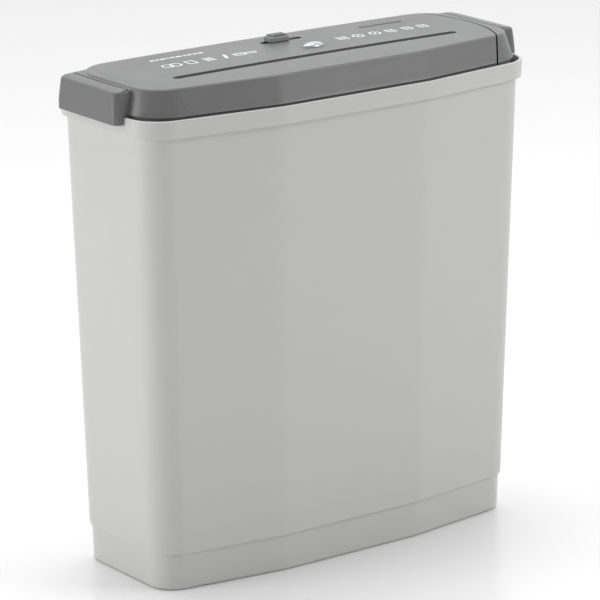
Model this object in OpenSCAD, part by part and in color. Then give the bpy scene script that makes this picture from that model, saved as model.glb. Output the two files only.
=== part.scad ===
// Strip-cut paper shredder: a motor head that lifts off a tapered waste bin.
// Millimetres, +Z up, origin at the centre of the bin's underside.
// The front faces -Y. The paper slot and both cutter shafts run along X.

/* [Waste bin] */
// Width across the end walls at the rim
bin_top_w = 304; // [290:1:370]
// Depth across the middle panels at the rim
bin_top_d = 129.5; // [126:0.5:160]
// Height from the ground to the rim
bin_h = 314.5; // [250:0.5:380]
// How much narrower the ground end is than the rim, along X
bin_taper_w = 16; // [8:1:24]
// How much narrower the ground end is than the rim, along Y
bin_taper_d = 10; // [4:1:14]
// Wall of the bin moulding
bin_wall = 2.2; // [1.8:0.1:2.6]
// Floor of the bin moulding
bin_floor = 2.6; // [2:0.1:5]
// Radius of the upright corners
corner_r = 20; // [17:1:24]
// Half the width of the flat middle panel, front and back
panel_half = 58; // [40:1:80]
// How far the outer panels fall back towards the ends
panel_fall = 9.6; // [6:0.2:10]
// Outset of the collar round the rim
collar_out = 3.6; // [3:0.1:4.4]
// Height of the collar
collar_h = 11.7; // [9:0.1:15]
// Height of the recessed band round the foot
foot_h = 25; // [15:1:40]
// Inset of the recessed band
foot_in = 1.6; // [1:0.1:2]

/* [Head shell] */
// Rise of the crowned top above the rim
head_rise = 19; // [17:0.5:26]
// Fall of the crown from the middle to the ends
crown_drop = 1; // [0.6:0.1:6]
// Fall of the top from the middle to the front and back edges
roll_drop = 0.5; // [0.3:0.1:3]
// Backward lean of the front face over its height
front_lean = 6; // [3:0.5:8]
// Run of the long slope behind the top
back_run = 24; // [14:0.5:25]
// Wall of the cover and the end caps
cover_wall = 2.4; // [2:0.1:3]
// Thickness of the flange that sits on the bin's ledge
flange_t = 3; // [2:0.1:4]
// Depth of the lower housing below the ledge
housing_drop = 59; // [58:1:90]
// Wall of the lower housing
housing_wall = 1.8; // [1.5:0.1:2.2]
// Radius of the curved seams beside the end caps
seam_r = 95; // [90:1:110]
// Distance of the seams from the middle, on the centre line
seam_x = 142; // [138:1:150]
// Width of the seams
seam_gap = 0.9; // [0.4:0.1:1.5]
// Reach of each lifting grip towards the front
grip_front = 31; // [20:0.5:34]
// Reach of each lifting grip towards the back
grip_back = 37; // [20:0.5:38]
// Reach of each lifting grip past the collar
grip_out = 6.7; // [5:0.1:10]
// How far each grip hangs down outside the collar
grip_hang = 3.8; // [2:0.1:8]

/* [Paper slot] */
// Length of the slot, for an A4 sheet
slot_w = 225; // [215:1:228]
// Width of the slot
slot_gap = 6; // [5:0.5:8]
// Place of the slot from the middle of the head
slot_y = -25; // [-27:0.5:-23]
// Extra width of the rounded mouth
slot_flare = 2; // [1:0.5:3]

/* [Cutters] */
// Height of both cutter shafts below the rim
cutter_drop = 26.5; // [26:0.5:32]
// Distance of the cutters' nip behind the slot
nip_back = 2.2; // [1.5:0.1:2.5]
// Radius of a cutting disc
disc_r = 14; // [13.2:0.1:14.4]
// Thickness of a cutting disc
disc_t = 5.6; // [5:0.1:5.8]
// Spacing of the discs along one shaft
disc_pitch = 12; // [12:0.5:14]
// Radius of the disc hubs
hub_r = 10.5; // [9.5:0.1:11]
// Radius of the shaft journals
journal_r = 4.95; // [4:0.05:5.5]
// Thickness of the steel side plates
plate_t = 2; // [1.5:0.5:3]

/* [Gears] */
// Module of the two gears that couple the cutter shafts
sync_module = 1.5; // [1.5:0.05:1.6]
// Teeth on each coupling gear
sync_teeth = 17; // [17:1:17]
// Teeth on every pinion
pinion_teeth = 14; // [14:1:16]
// Teeth on the motor stage's large gear
first_teeth = 44; // [40:1:44]
// Teeth on the middle stage's large gear
second_teeth = 40; // [36:1:42]
// Teeth on the cutter drive gear
drive_teeth = 40; // [38:1:40]
// Play left between meshing teeth
backlash = 0.16; // [0.1:0.01:0.2]

/* [Controls] */
// Width of the mode knob
knob_w = 16; // [12:0.5:18]
// Height of the mode knob above the top
knob_h = 5; // [3:0.5:7]
// Travel of the knob to the left of its rest place
knob_left = 4; // [3:0.5:6]
// Travel of the knob to the right of its rest place
knob_right = 11; // [8:0.5:13]
// Length of the oval indicator lens
lens_w = 17; // [12:0.5:20]

/* [Hidden] */
$fn = 48;
eps = 0.01;
slice = 0.2;              // thickness of the slabs that the shells are drawn between
head_gap = 0.6;           // play between the head and the inside of the collar
housing_gap = 1.2;        // play between the lower housing and the bin wall
touch = 0.1;              // play between pieces that only stand next to each other

// Levels
ledge_z = bin_h - collar_h + bin_wall;
skirt_z = ledge_z + flange_t;
head_z = bin_h + head_rise;
housing_z = ledge_z - housing_drop;
floor_z = housing_z + 2;
cutter_z = bin_h - cutter_drop;

// Head plan
head_w = bin_top_w + 2 * (collar_out - bin_wall - head_gap);
head_d = bin_top_d + 2 * (collar_out - bin_wall - head_gap);
head_r = corner_r + collar_out - bin_wall - head_gap;
housing_in = bin_wall + housing_gap;
inner_in = housing_in + housing_wall;
seam_cx = seam_x - seam_r;

// Places along X
plate_in = slot_w / 2 + 2.5;
plate_out = plate_in + plate_t;
stage_one = plate_out + 1.9;
stage_two = stage_one + 7.2;
stage_three = stage_two + 7.2;
gearbox_in = stage_three + 8.3;
sync_in = plate_out + 2;
sync_t = 7;
disc_span = slot_w - 9;
disc_count = floor(disc_span / disc_pitch) + 1;
first_disc = -disc_pitch * (disc_count - 1) / 2;

// Gear modules and centre distances
first_module = 0.8;
second_module = 1.0;
drive_module = 1.25;
stub = 0.8;               // tooth height above the pitch circle, in modules
root = 1.05;              // tooth depth below the pitch circle, in modules
pressure = 20;
sync_cd = sync_module * sync_teeth;
drive_cd = drive_module * (drive_teeth + pinion_teeth) / 2;
second_cd = second_module * (second_teeth + pinion_teeth) / 2;
first_cd = first_module * (first_teeth + pinion_teeth) / 2;
drive_dir = 3;            // direction of each next axis, from +Y towards +Z
second_dir = -126;
first_dir = 15;

// Axes, as [y, z]
nip_y = slot_y + nip_back;
front_axis = [nip_y - sync_cd / 2, cutter_z];
rear_axis = [nip_y + sync_cd / 2, cutter_z];
second_axis = rear_axis + drive_cd * [cos(drive_dir), sin(drive_dir)];
first_axis = second_axis + second_cd * [cos(second_dir), sin(second_dir)];
motor_axis = first_axis + first_cd * [cos(first_dir), sin(first_dir)];
axle_r = 2.5;
running = 0.05;           // radial play of a running fit

// Motor
motor_r = 20;
motor_len = 78;
can_wall = 1.6;
fan_r = 17;

// Frame
plate_y = 46;
plate_top = cutter_z + 33;
pillar_r = 4;
pillars = [[-33, -26], [33, -26], [30, 28], [-30, 28]];
rod_r = 3;
rods = [[-46, -26], [0, -28], [5, 21], [42, 18]];
bush_r = 7;
bush_flange_r = 9;
bush_flange_t = 0.9;

// Fixings
pad_r = 6;
boss_r = 4;
screw_r = 1.5;
screw_head_r = 2.8;
screw_head_h = 2;
pad_reach = corner_r - inner_in - pad_r + 1;
cap_pad = [
    bin_top_w / 2 - corner_r + pad_reach * cos(45),
    bin_top_d / 2 - panel_fall - corner_r + pad_reach * sin(45)
];
cover_pad_x = plate_out + pad_r + 0.5;
cover_pad = [cover_pad_x, wall_y(cover_pad_x, inner_in) - pad_r + 1];

// Controls
knob_x = 1.5;
knob_y = 23;
knob_d = 9;
knob_slot_d = 5;
stem_w = 7;
lens_at = [11, -4.6];
lens_d = 9;
lens_h = 2.8;
sensor_axis = [slot_y + 13, cutter_z + 25];
sensor_arm = 14;

// Colours
bin_grey = [0.86, 0.86, 0.85];
head_grey = [0.50, 0.51, 0.52];
dark_grey = [0.22, 0.22, 0.23];
steel = [0.68, 0.69, 0.70];
tool_steel = [0.45, 0.46, 0.48];
nylon = [0.90, 0.89, 0.84];
bronze = [0.72, 0.52, 0.28];

// ---------- shell outlines ----------

// Outer size of the bin wall at a height
function bin_w(z) = bin_top_w - bin_taper_w * (1 - z / bin_h);
function bin_d(z) = bin_top_d - bin_taper_d * (1 - z / bin_h);

// Half depth at the ledge of a wall that lies inset from the bin's outside
function wall_y(x, inset) =
    bin_d(ledge_z) / 2 - inset
    - panel_fall * max(0, x - panel_half) / (bin_top_w / 2 - corner_r - panel_half);

// Height of the head's outside over a boss at a point of its plan
function roof_z(at) =
    head_z - max(
        crown_drop * pow(2 * at[0] / head_w, 2),
        roll_drop,
        (at[1] + boss_r - head_d / 2 + back_run) * head_rise / back_run
    );

// Four corner rounds and the middle panels, as children for a hull
module panel_slab(w, d, r, z, sides = 48) {
    panel = panel_half * w / bin_top_w;
    translate([0, 0, z]) {
        for (sx = [-1, 1], sy = [-1, 1])
            translate([sx * (w / 2 - r), sy * (d / 2 - panel_fall - r), 0])
                cylinder(r = r, h = slice, $fn = sides);
        translate([-panel, -d / 2, 0])
            cube([2 * panel, d, slice]);
    }
}

// Solid that follows the bin's taper between two heights
module tub(inset, z0, z1) {
    hull() {
        for (z = [z0, z1 - slice])
            panel_slab(bin_w(z) - 2 * inset, bin_d(z) - 2 * inset, corner_r - inset, z);
    }
}

// Crowned solid of the head's outside, drawn in by t; it is convex, so one outer hull keeps it whole
module head_form(t) {
    w = head_w - 2 * t;
    d = head_d - 2 * t;
    r = head_r - t;
    top = head_z - t;
    base = skirt_z - (t > 0 ? 1 : 0);
    back_edge = head_d / 2 - back_run - t;
    hull()
    intersection() {
        hull() {
            panel_slab(w, d, r, base, 32);
            panel_slab(w, d, r, bin_h, 32);
            panel_slab(w - 2 * front_lean, d - 2 * front_lean, r - 2, top, 32);
        }
        // crown along X
        translate([0, head_d / 2 + 1, 0])
            rotate([90, 0, 0])
                linear_extrude(head_d + 2)
                    polygon(concat(
                        [[head_w, base - 1]],
                        [for (i = [8:-1:-8])
                            let (x = i * head_w / 16)
                            [x, top - crown_drop * pow(2 * x / head_w, 2)]],
                        [[-head_w, base - 1]]
                    ));
        // roll of the top and the back slope along Y
        translate([-head_w / 2 - 1, 0, 0])
            rotate([90, 0, 90])
                linear_extrude(head_w + 2)
                    polygon(concat(
                        [[-head_d, base - 1], [-head_d, top - 3 * roll_drop]],
                        [for (i = [-5:5])
                            let (y = i * (i < 0 ? head_d / 2 - front_lean : back_edge) / 5)
                            [y, top - roll_drop * pow(i / 5, 2)]],
                        [[head_d / 2 - t, bin_h], [head_d / 2 - t, base - 1]]
                    ));
    }
}

// Solid of the lifting grip at the right end, drawn in by t
module grip_form(t) {
    r = 4.6;
    reach = bin_top_w / 2 + collar_out + grip_out - t;
    hull() {
        for (y = [-grip_front + t + r, grip_back - t - r]) {
            translate([reach - r, y, bin_h - grip_hang - t])
                cylinder(r = r, h = slice);
            translate([reach - r - 1, y - sign(y) * 1.5, head_z - crown_drop - 1.2 - t])
                cylinder(r = r, h = slice);
        }
        translate([bin_top_w / 2 - 20, -grip_front + t, bin_h - grip_hang - t])
            cube([8, grip_front + grip_back - 2 * t, head_rise - crown_drop + grip_hang - 1]);
    }
}

// Plan region between the two curved seams
module middle_region(grow) {
    for (s = [-1, 1])
        translate([s * seam_cx, 0, housing_z])
            cylinder(r = seam_r + grow, h = head_z, $fn = 160);
}

// ---------- small shapes ----------

// Cylinder along +X from x0 to x1 about an axis given as [y, z]
module along_x(axis, r, x0, x1, sides = 48) {
    translate([x0, axis[0], axis[1]])
        rotate([90, 0, 90])
            cylinder(r = r, h = x1 - x0, $fn = sides);
}

// Screw with its head below and its shank up +Z
module screw_up(length) {
    cylinder(r = screw_head_r, h = screw_head_h, $fn = 32);
    cylinder(r = screw_r, h = screw_head_h + length, $fn = 32);
}

// Screw with its head outside and its shank along -X
module screw_in(axis, x, length) {
    along_x(axis, screw_r, x - length, x + eps, 32);
    along_x(axis, screw_head_r - 0.3, x, x + 1.6, 32);
}

// Screw bosses that rise from the skirt into the wall of the roof
module bosses(pad) {
    for (sx = [-1, 1], y = [-pad[1], pad[1]])
        translate([sx * pad[0], y, skirt_z])
            cylinder(r = boss_r, h = roof_z([pad[0], y]) - cover_wall / 2 - skirt_z);
}

module at_pads(pad) {
    for (sx = [-1, 1], sy = [-1, 1])
        translate([sx * pad[0], sy * pad[1], 0])
            children();
}

// ---------- gears ----------

function inv(a) = tan(a) * 180 / PI - a;

// Half the angle that a tooth spans at radius r
function tooth_half(r, rp, m) =
    let (rb = rp * cos(pressure))
    (PI * m / 2 - backlash) / (2 * rp) * 180 / PI + inv(pressure)
    - inv(acos(min(1, rb / r)));

// Radii that a flank passes through, from the root to the tip
function flank_radii(rp, m) =
    let (rb = rp * cos(pressure), low = max(rb, rp - root * m), tip = rp + stub * m)
    concat(
        rb > rp - root * m ? [rp - root * m] : [],
        [for (i = [0:4]) low + (tip - low) * i / 4]
    );

// Involute spur gear outline, with one tooth centred at the angle phase
module gear_outline(teeth, m, phase) {
    rp = teeth * m / 2;
    radii = flank_radii(rp, m);
    last = len(radii) - 1;
    polygon([
        for (i = [0:teeth - 1], side = [-1, 1], k = [0:last])
            let (r = radii[side < 0 ? k : last - k])
            let (a = phase + 360 * i / teeth + side * tooth_half(r, rp, m))
            [r * cos(a), r * sin(a)]
    ]);
}

module gear(axis, teeth, m, phase, x0, x1) {
    translate([x0, axis[0], axis[1]])
        rotate([90, 0, 90])
            linear_extrude(x1 - x0)
                gear_outline(teeth, m, phase);
}

// Phase of a gear that meshes with another, lying at the direction dir from it
function meshed(phase, teeth, next_teeth, dir) =
    dir + 180 + (dir - phase) * teeth / next_teeth + 180 / next_teeth;

rear_phase = 0;
front_phase = meshed(rear_phase, sync_teeth, sync_teeth, 180);
second_phase = meshed(rear_phase, drive_teeth, pinion_teeth, drive_dir);
first_phase = meshed(second_phase, second_teeth, pinion_teeth, second_dir);
motor_phase = meshed(first_phase, first_teeth, pinion_teeth, first_dir);

// ---------- bin ----------

module waste_bin() {
    color(bin_grey)
    difference() {
        union() {
            tub(foot_in, 0, foot_h + slice);
            tub(0, foot_h, bin_h);
            tub(-collar_out, bin_h - collar_h, bin_h);
        }
        tub(foot_in + bin_wall, bin_floor, foot_h + bin_wall + slice);
        tub(bin_wall, foot_h + bin_wall, ledge_z + slice);
        tub(bin_wall - collar_out, ledge_z, bin_h + 1);
    }
}

// ---------- head shells ----------

module lower_housing() {
    color(dark_grey)
    difference() {
        union() {
            difference() {
                union() {
                    tub(housing_in, housing_z, ledge_z + slice);
                    hull() {
                        panel_slab(head_w, head_d, head_r, ledge_z);
                        panel_slab(head_w, head_d, head_r, skirt_z - slice);
                    }
                }
                tub(inner_in, floor_z, skirt_z + 1);
            }
            at_pads(cap_pad)
                translate([0, 0, ledge_z]) cylinder(r = pad_r, h = flange_t);
            at_pads(cover_pad)
                translate([0, 0, ledge_z]) cylinder(r = pad_r, h = flange_t);
            // posts behind the control board
            for (x = [-100, -12])
                translate([x - 4, 47.6 + touch, housing_z + 1])
                    cube([8, 3.4, 26]);
        }
        // outlet for the strips
        translate([-slot_w / 2, nip_y - 26, housing_z - 1])
            cube([slot_w, 52, 4]);
        at_pads(cap_pad)
            translate([0, 0, ledge_z - 1]) cylinder(r = screw_r + 0.15, h = flange_t + 2);
        at_pads(cover_pad)
            translate([0, 0, ledge_z - 1]) cylinder(r = screw_r + 0.15, h = flange_t + 2);
        at_feet()
            translate([0, 0, housing_z - 1]) cylinder(r = screw_r + 0.15, h = 4);
        for (x = [-100, -12])
            translate([x, 52, housing_z + 20])
                rotate([90, 0, 0]) cylinder(r = screw_r, h = 6);
    }
}

// Opening of the paper slot with its flared mouth, cut along X
module slot_cut() {
    half = slot_gap / 2;
    mouth = head_z - 0.6;
    translate([-slot_w / 2, slot_y, 0])
        rotate([90, 0, 90])
            linear_extrude(slot_w)
                polygon([
                    [-half, skirt_z],
                    [half, skirt_z],
                    [half, mouth - 3],
                    [half + slot_flare / 2, mouth],
                    [half + slot_flare / 2, head_z + 1],
                    [-half - slot_flare / 2, head_z + 1],
                    [-half - slot_flare / 2, mouth],
                    [-half, mouth - 3]
                ]);
}

module top_cover() {
    color(head_grey)
    difference() {
        intersection() {
            union() {
                difference() {
                    head_form(0);
                    head_form(cover_wall);
                }
                bosses(cover_pad);
            }
            middle_region(0);
        }
        slot_cut();
        // slot for the stem of the mode knob
        translate([knob_x - knob_left - stem_w, knob_y - knob_slot_d / 2, skirt_z + 2])
            cube([knob_left + knob_right + 2 * stem_w, knob_slot_d, head_z]);
        translate([lens_at[0], lens_at[1], skirt_z + 2])
            cylinder(r = 2.5, h = head_z, $fn = 32);
        at_pads(cover_pad)
            translate([0, 0, skirt_z - 1]) cylinder(r = screw_r, h = 10, $fn = 32);
        gland_hole();
    }
}

// Right end cap, with its lifting grip; the left one is its mirror image
module end_cap() {
    difference() {
        union() {
            difference() {
                union() {
                    head_form(0);
                    grip_form(0);
                }
                head_form(cover_wall);
                grip_form(cover_wall);
            }
            bosses(cap_pad);
        }
        middle_region(seam_gap);
        translate([-head_w, -head_d, 0])
            cube([head_w, 2 * head_d, 2 * head_z]);
        // room for the bin's collar under the grip
        translate([head_w / 2, -head_d, ledge_z])
            cube([
                bin_top_w / 2 + collar_out + head_gap - head_w / 2,
                2 * head_d,
                bin_h + head_gap - ledge_z
            ]);
        at_pads(cap_pad)
            translate([0, 0, skirt_z - 1]) cylinder(r = screw_r, h = 10, $fn = 32);
    }
}

module right_end_cap() {
    color(head_grey) end_cap();
}

module left_end_cap() {
    color(head_grey) mirror([1, 0, 0]) end_cap();
}

// Throat that leads the sheet from the slot down to the cutters
module paper_guide() {
    half = slot_gap / 2;
    low = cutter_z + disc_r + 1;
    high = head_z - cover_wall - crown_drop * pow(slot_w / head_w, 2) - roll_drop * 0.4;
    color(dark_grey)
    difference() {
        translate([-plate_in + touch, slot_y - half - 1.5, low])
            cube([2 * (plate_in - touch), slot_gap + 3, high - low]);
        translate([-slot_w / 2, slot_y - half, low - 1])
            cube([slot_w, slot_gap, high - low + 2]);
        // window for the sensor lever
        translate([-4, slot_y, low - 1])
            cube([8, slot_gap + 3, 16]);
    }
}

// ---------- controls ----------

module indicator_lens() {
    color([0.88, 0.90, 0.92])
    translate([lens_at[0], lens_at[1], head_z]) {
        intersection() {
            scale([lens_w / lens_d, 1, 2 * lens_h / lens_d])
                sphere(r = lens_d / 2, $fn = 32);
            translate([-lens_w, -lens_d, 0])
                cube([2 * lens_w, 2 * lens_d, 2 * lens_h]);
        }
        translate([0, 0, -8])
            cylinder(r = 2.4, h = 8 + eps, $fn = 32);
    }
}

module mode_knob() {
    rib = 1.2;
    base = head_z + 0.2;
    color(dark_grey)
    translate([knob_x, knob_y, 0]) {
        translate([-knob_w / 2, -knob_d / 2, base])
            cube([knob_w, knob_d, knob_h - 1.2]);
        for (i = [-2:2])
            translate([i * 2.8 - rib / 2, -knob_d / 2 + 0.6, base])
                cube([rib, knob_d - 1.2, knob_h - 0.2]);
        translate([-stem_w / 2, -knob_slot_d / 2 + 0.5, head_z - 11])
            cube([stem_w, knob_slot_d - 1, 12]);
    }
}

module mode_switch() {
    color(dark_grey)
    difference() {
        translate([knob_x + (knob_right - knob_left) / 2 - 16, knob_y - 6, head_z - 20])
            cube([32, 12, 9.5]);
        translate([knob_x + (knob_right - knob_left) / 2 - 14, knob_y - 3, head_z - 12])
            cube([28, 6, 3]);
    }
}

module sensor_lever() {
    color("white")
    difference() {
        union() {
            along_x(sensor_axis, 2.4, -2, 2, 32);
            translate([-1.2, sensor_axis[0] - sensor_arm, sensor_axis[1] - 1.2])
                cube([2.4, sensor_arm, 2.4]);
        }
        along_x(sensor_axis, 1 + running, -3, 3, 32);
    }
}

module sensor_pin() {
    color(steel) along_x(sensor_axis, 1, -3.5, 7, 32);
}

module sensor_switch() {
    color(dark_grey)
    difference() {
        translate([3, sensor_axis[0] - 4, sensor_axis[1] - 7])
            cube([20, 9, 12]);
        along_x(sensor_axis, 1, 2, 7, 32);
    }
}

// ---------- cutter frame ----------

module side_plate(x0) {
    translate([x0, -plate_y, floor_z])
        cube([plate_t, 2 * plate_y, plate_top - floor_z]);
}

module plate_bores(x0) {
    for (axis = [front_axis, rear_axis])
        along_x(axis, bush_r, x0 - 1, x0 + plate_t + 1);
}

module left_side_plate() {
    color(steel)
    difference() {
        side_plate(-plate_out);
        plate_bores(-plate_out);
    }
}

module right_side_plate() {
    color(steel)
    difference() {
        side_plate(plate_in);
        plate_bores(plate_in);
        along_x(motor_axis, 4.5, plate_in - 1, plate_out + 1);
        for (axis = [first_axis, second_axis])
            along_x(axis, axle_r, plate_in - 1, plate_out + 1, 32);
        for (s = [-1, 1])
            along_x(motor_axis + [12 * s, 0], screw_r, plate_in - 1, plate_out + 1, 32);
    }
}

module tie_rods() {
    color(steel)
    for (at = rods)
        along_x([at[0], cutter_z + at[1]], rod_r, -plate_in, plate_in, 32);
}

// Flanged bush about an axis, its flange inside the plate
module bush(axis, side) {
    x0 = side > 0 ? plate_in : -plate_out;
    flange = side > 0 ? plate_in - bush_flange_t : -plate_in;
    difference() {
        union() {
            along_x(axis, bush_r, x0, x0 + plate_t);
            along_x(axis, bush_flange_r, flange, flange + bush_flange_t);
        }
        along_x(axis, journal_r + running, -plate_out - 3, plate_out + 3);
    }
}

module cutter_bushes() {
    color(bronze)
    for (axis = [front_axis, rear_axis], side = [-1, 1])
        bush(axis, side);
}

// Six-sided shaft between the plates with round journals at its ends
module cutter_shaft(axis, x0, x1) {
    along_x(axis, 8, -plate_in + 1.6, plate_in - 1.6, 6);
    along_x(axis, journal_r, x0, x1);
}

// Hubbed discs side by side; hooks round each disc pull the sheet in
module cutter_discs(axis, first, count) {
    hooks = 6;
    for (i = [0:count - 1]) {
        x = first + i * disc_pitch;
        difference() {
            union() {
                along_x(axis, disc_r, x - disc_t / 2, x + disc_t / 2);
                along_x(axis, hub_r, x - disc_pitch / 2 + touch, x + disc_pitch / 2 - touch);
            }
            along_x(axis, 8, x - disc_pitch, x + disc_pitch, 6);
            for (k = [0:hooks - 1])
                along_x(axis + (disc_r + 0.4) * [cos(60 * k + 20 * i), sin(60 * k + 20 * i)],
                    1.2, x - disc_t, x + disc_t, 16);
        }
    }
}

module front_cutter_shaft() {
    color(tool_steel) cutter_shaft(front_axis, -sync_in - sync_t - 2, plate_out + 0.5);
}

module rear_cutter_shaft() {
    color(tool_steel) cutter_shaft(rear_axis, -sync_in - sync_t - 2, gearbox_in + 1);
}

module front_cutter_discs() {
    color(tool_steel) cutter_discs(front_axis, first_disc, disc_count);
}

module rear_cutter_discs() {
    color(tool_steel) cutter_discs(rear_axis, first_disc + disc_pitch / 2, disc_count - 1);
}

module sync_gear(axis, phase) {
    difference() {
        gear(axis, sync_teeth, sync_module, phase, -sync_in - sync_t, -sync_in);
        along_x(axis, journal_r, -sync_in - sync_t - 1, -sync_in + 1);
    }
}

module front_sync_gear() {
    color(tool_steel) sync_gear(front_axis, front_phase);
}

module rear_sync_gear() {
    color(tool_steel) sync_gear(rear_axis, rear_phase);
}

// Bar with a finger in each gap between the discs of one shaft
module comb(axis, first, count) {
    bar_z = cutter_z - disc_r - 8;
    finger_top = cutter_z - hub_r - 0.8;
    translate([-plate_in, axis[0] - 6, bar_z])
        cube([2 * plate_in, 12, 4]);
    for (i = [0:count - 1])
        translate([first + i * disc_pitch - disc_t / 2 + 0.3, axis[0] - 6, bar_z])
            cube([disc_t - 0.6, 12, finger_top - bar_z]);
}

module front_comb() {
    color(dark_grey) comb(front_axis, first_disc + disc_pitch / 2, disc_count - 1);
}

module rear_comb() {
    color(dark_grey) comb(rear_axis, first_disc, disc_count);
}

// ---------- motor and gears ----------

module motor_can() {
    color(steel)
    difference() {
        along_x(motor_axis, motor_r, plate_in - motor_len, plate_in);
        along_x(motor_axis, motor_r - can_wall, plate_in - motor_len - 1, plate_in - 3);
        along_x(motor_axis, axle_r + running, plate_in - 4, plate_in + 1, 32);
        for (s = [-1, 1])
            along_x(motor_axis + [12 * s, 0], screw_r, plate_in - 4, plate_in + 1, 32);
    }
}

module motor_end_bell() {
    back = plate_in - motor_len;
    color(dark_grey)
    difference() {
        union() {
            along_x(motor_axis, motor_r, back - 4, back);
            along_x(motor_axis, 7, back - 7, back);
        }
        along_x(motor_axis, axle_r + running, back - 8, back + 1, 32);
    }
}

module motor_magnets() {
    color(dark_grey)
    difference() {
        along_x(motor_axis, motor_r - can_wall, plate_in - motor_len + 10, plate_in - 14);
        along_x(motor_axis, motor_r - can_wall - 3.5, plate_in - motor_len + 9, plate_in - 13);
        translate([plate_in - motor_len, motor_axis[0] - 3, motor_axis[1] - motor_r])
            cube([motor_len, 6, 2 * motor_r]);
    }
}

module motor_shaft() {
    color(steel)
    along_x(motor_axis, axle_r, plate_in - motor_len - 20, stage_one + 7, 32);
}

// Slotted rotor stack
module motor_armature() {
    color(tool_steel)
    difference() {
        along_x(motor_axis, 14.5, plate_in - motor_len + 14, plate_in - 18);
        along_x(motor_axis, axle_r, plate_in - motor_len, plate_in, 32);
        for (k = [0:6])
            translate([0, motor_axis[0], motor_axis[1]])
                rotate([k * 360 / 7, 0, 0])
                    translate([plate_in - motor_len, -1, 10])
                        cube([motor_len, 2, 6]);
    }
}

module motor_fan() {
    hub_x = plate_in - motor_len - 18;
    color(nylon)
    difference() {
        union() {
            along_x(motor_axis, 6, hub_x, hub_x + 9);
            along_x(motor_axis, fan_r, hub_x, hub_x + 1.2);
            for (k = [0:7])
                translate([0, motor_axis[0], motor_axis[1]])
                    rotate([k * 45, 0, 0])
                        translate([hub_x, -0.6, 4])
                            cube([8, 1.2, fan_r - 5]);
        }
        along_x(motor_axis, axle_r, hub_x - 1, hub_x + 10, 32);
    }
}

module motor_pinion() {
    color(bronze)
    difference() {
        gear(motor_axis, pinion_teeth, first_module, motor_phase, stage_one - 0.5, stage_one + 6.5);
        along_x(motor_axis, axle_r, stage_one - 1, stage_one + 7, 32);
    }
}

module first_gear() {
    color(nylon)
    difference() {
        union() {
            gear(first_axis, first_teeth, first_module, first_phase, stage_one, stage_one + 6);
            gear(first_axis, pinion_teeth, second_module, first_phase, stage_one + 6 - eps, stage_two + 6);
        }
        along_x(first_axis, axle_r + running, stage_one - 1, stage_two + 7, 32);
    }
}

module first_axle() {
    color(steel) along_x(first_axis, axle_r, plate_in, stage_two + 6.8, 32);
}

module second_gear() {
    color(nylon)
    difference() {
        union() {
            along_x(second_axis, 5, plate_out + 0.5, stage_two + eps, 32);
            gear(second_axis, second_teeth, second_module, second_phase, stage_two, stage_two + 6);
            gear(second_axis, pinion_teeth, drive_module, second_phase,
                stage_two + 6 - eps, stage_three + 8);
        }
        along_x(second_axis, axle_r + running, plate_out, stage_three + 9, 32);
    }
}

module second_axle() {
    color(steel) along_x(second_axis, axle_r, plate_in, gearbox_in + 1.6, 32);
}

module cutter_drive_gear() {
    color(tool_steel)
    difference() {
        union() {
            gear(rear_axis, drive_teeth, drive_module, rear_phase, stage_three, stage_three + 8);
            along_x(rear_axis, 8, stage_three - 3, stage_three + eps);
        }
        along_x(rear_axis, journal_r, stage_three - 4, stage_three + 9);
        // lightening holes
        for (k = [0:5])
            along_x(rear_axis + 15.5 * [cos(60 * k), sin(60 * k)], 3.6,
                stage_three - 1, stage_three + 9, 32);
    }
}

module at_pillars(x0, x1, r) {
    for (at = pillars)
        along_x([at[0], cutter_z + at[1]], r, x0, x1, 32);
}

module gearbox_pillars() {
    color(steel)
    difference() {
        at_pillars(plate_out, gearbox_in, pillar_r);
        at_pillars(gearbox_in - 6, gearbox_in + 1, screw_r);
    }
}

module gearbox_cover() {
    color(steel)
    difference() {
        hull()
            at_pillars(gearbox_in, gearbox_in + 1.6, pillar_r + 1);
        at_pillars(gearbox_in - 1, gearbox_in + 3, screw_r);
        along_x(rear_axis, journal_r + running, gearbox_in - 1, gearbox_in + 3);
        along_x(second_axis, axle_r, gearbox_in - 1, gearbox_in + 3, 32);
    }
}

// ---------- electrics ----------

module control_board() {
    color([0.10, 0.35, 0.20])
    difference() {
        translate([-106, 46, housing_z + 12])
            cube([100, 1.6, 36]);
        for (x = [-100, -12])
            translate([x, 52, housing_z + 20])
                rotate([90, 0, 0]) cylinder(r = screw_r, h = 10, $fn = 32);
    }
}

module board_components() {
    board = housing_z + 12;
    color(dark_grey) {
        // relay
        translate([-90, 28, board + 4]) cube([20, 18, 16]);
        // heat sink
        translate([-40, 30, board + 6]) cube([3, 16, 24]);
        // terminal block
        translate([-64, 36, board + 22]) cube([20, 10, 10]);
        // smoothing capacitors
        for (x = [-56, -28])
            translate([x, 46, board + 11])
                rotate([90, 0, 0]) cylinder(r = 5, h = 18, $fn = 32);
    }
}

module gland_at(r, y0, y1) {
    translate([-92, y0, bin_h + 4])
        rotate([-90, 0, 0]) cylinder(r = r, h = y1 - y0, $fn = 32);
}

module gland_hole() {
    gland_at(5.5, head_d / 2 - 22, head_d / 2 + 1);
}

module cord_gland() {
    color(dark_grey)
    difference() {
        union() {
            gland_at(5.5 - touch, head_d / 2 - 20, head_d / 2 - 6);
            gland_at(6.8, head_d / 2 - 24, head_d / 2 - 20);
        }
        gland_at(3.2, head_d / 2 - 25, head_d / 2);
    }
}

// ---------- fixings ----------

module at_feet() {
    for (sx = [-1, 1], y = [-39, 35])
        translate([sx * (plate_out + 5), y, 0])
            children();
}

module frame_feet() {
    color(steel)
    difference() {
        at_feet()
            translate([-5, -5, floor_z]) cube([10, 10, 9]);
        at_feet()
            translate([0, 0, floor_z - 1]) cylinder(r = screw_r, h = 8, $fn = 32);
    }
}

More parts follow.
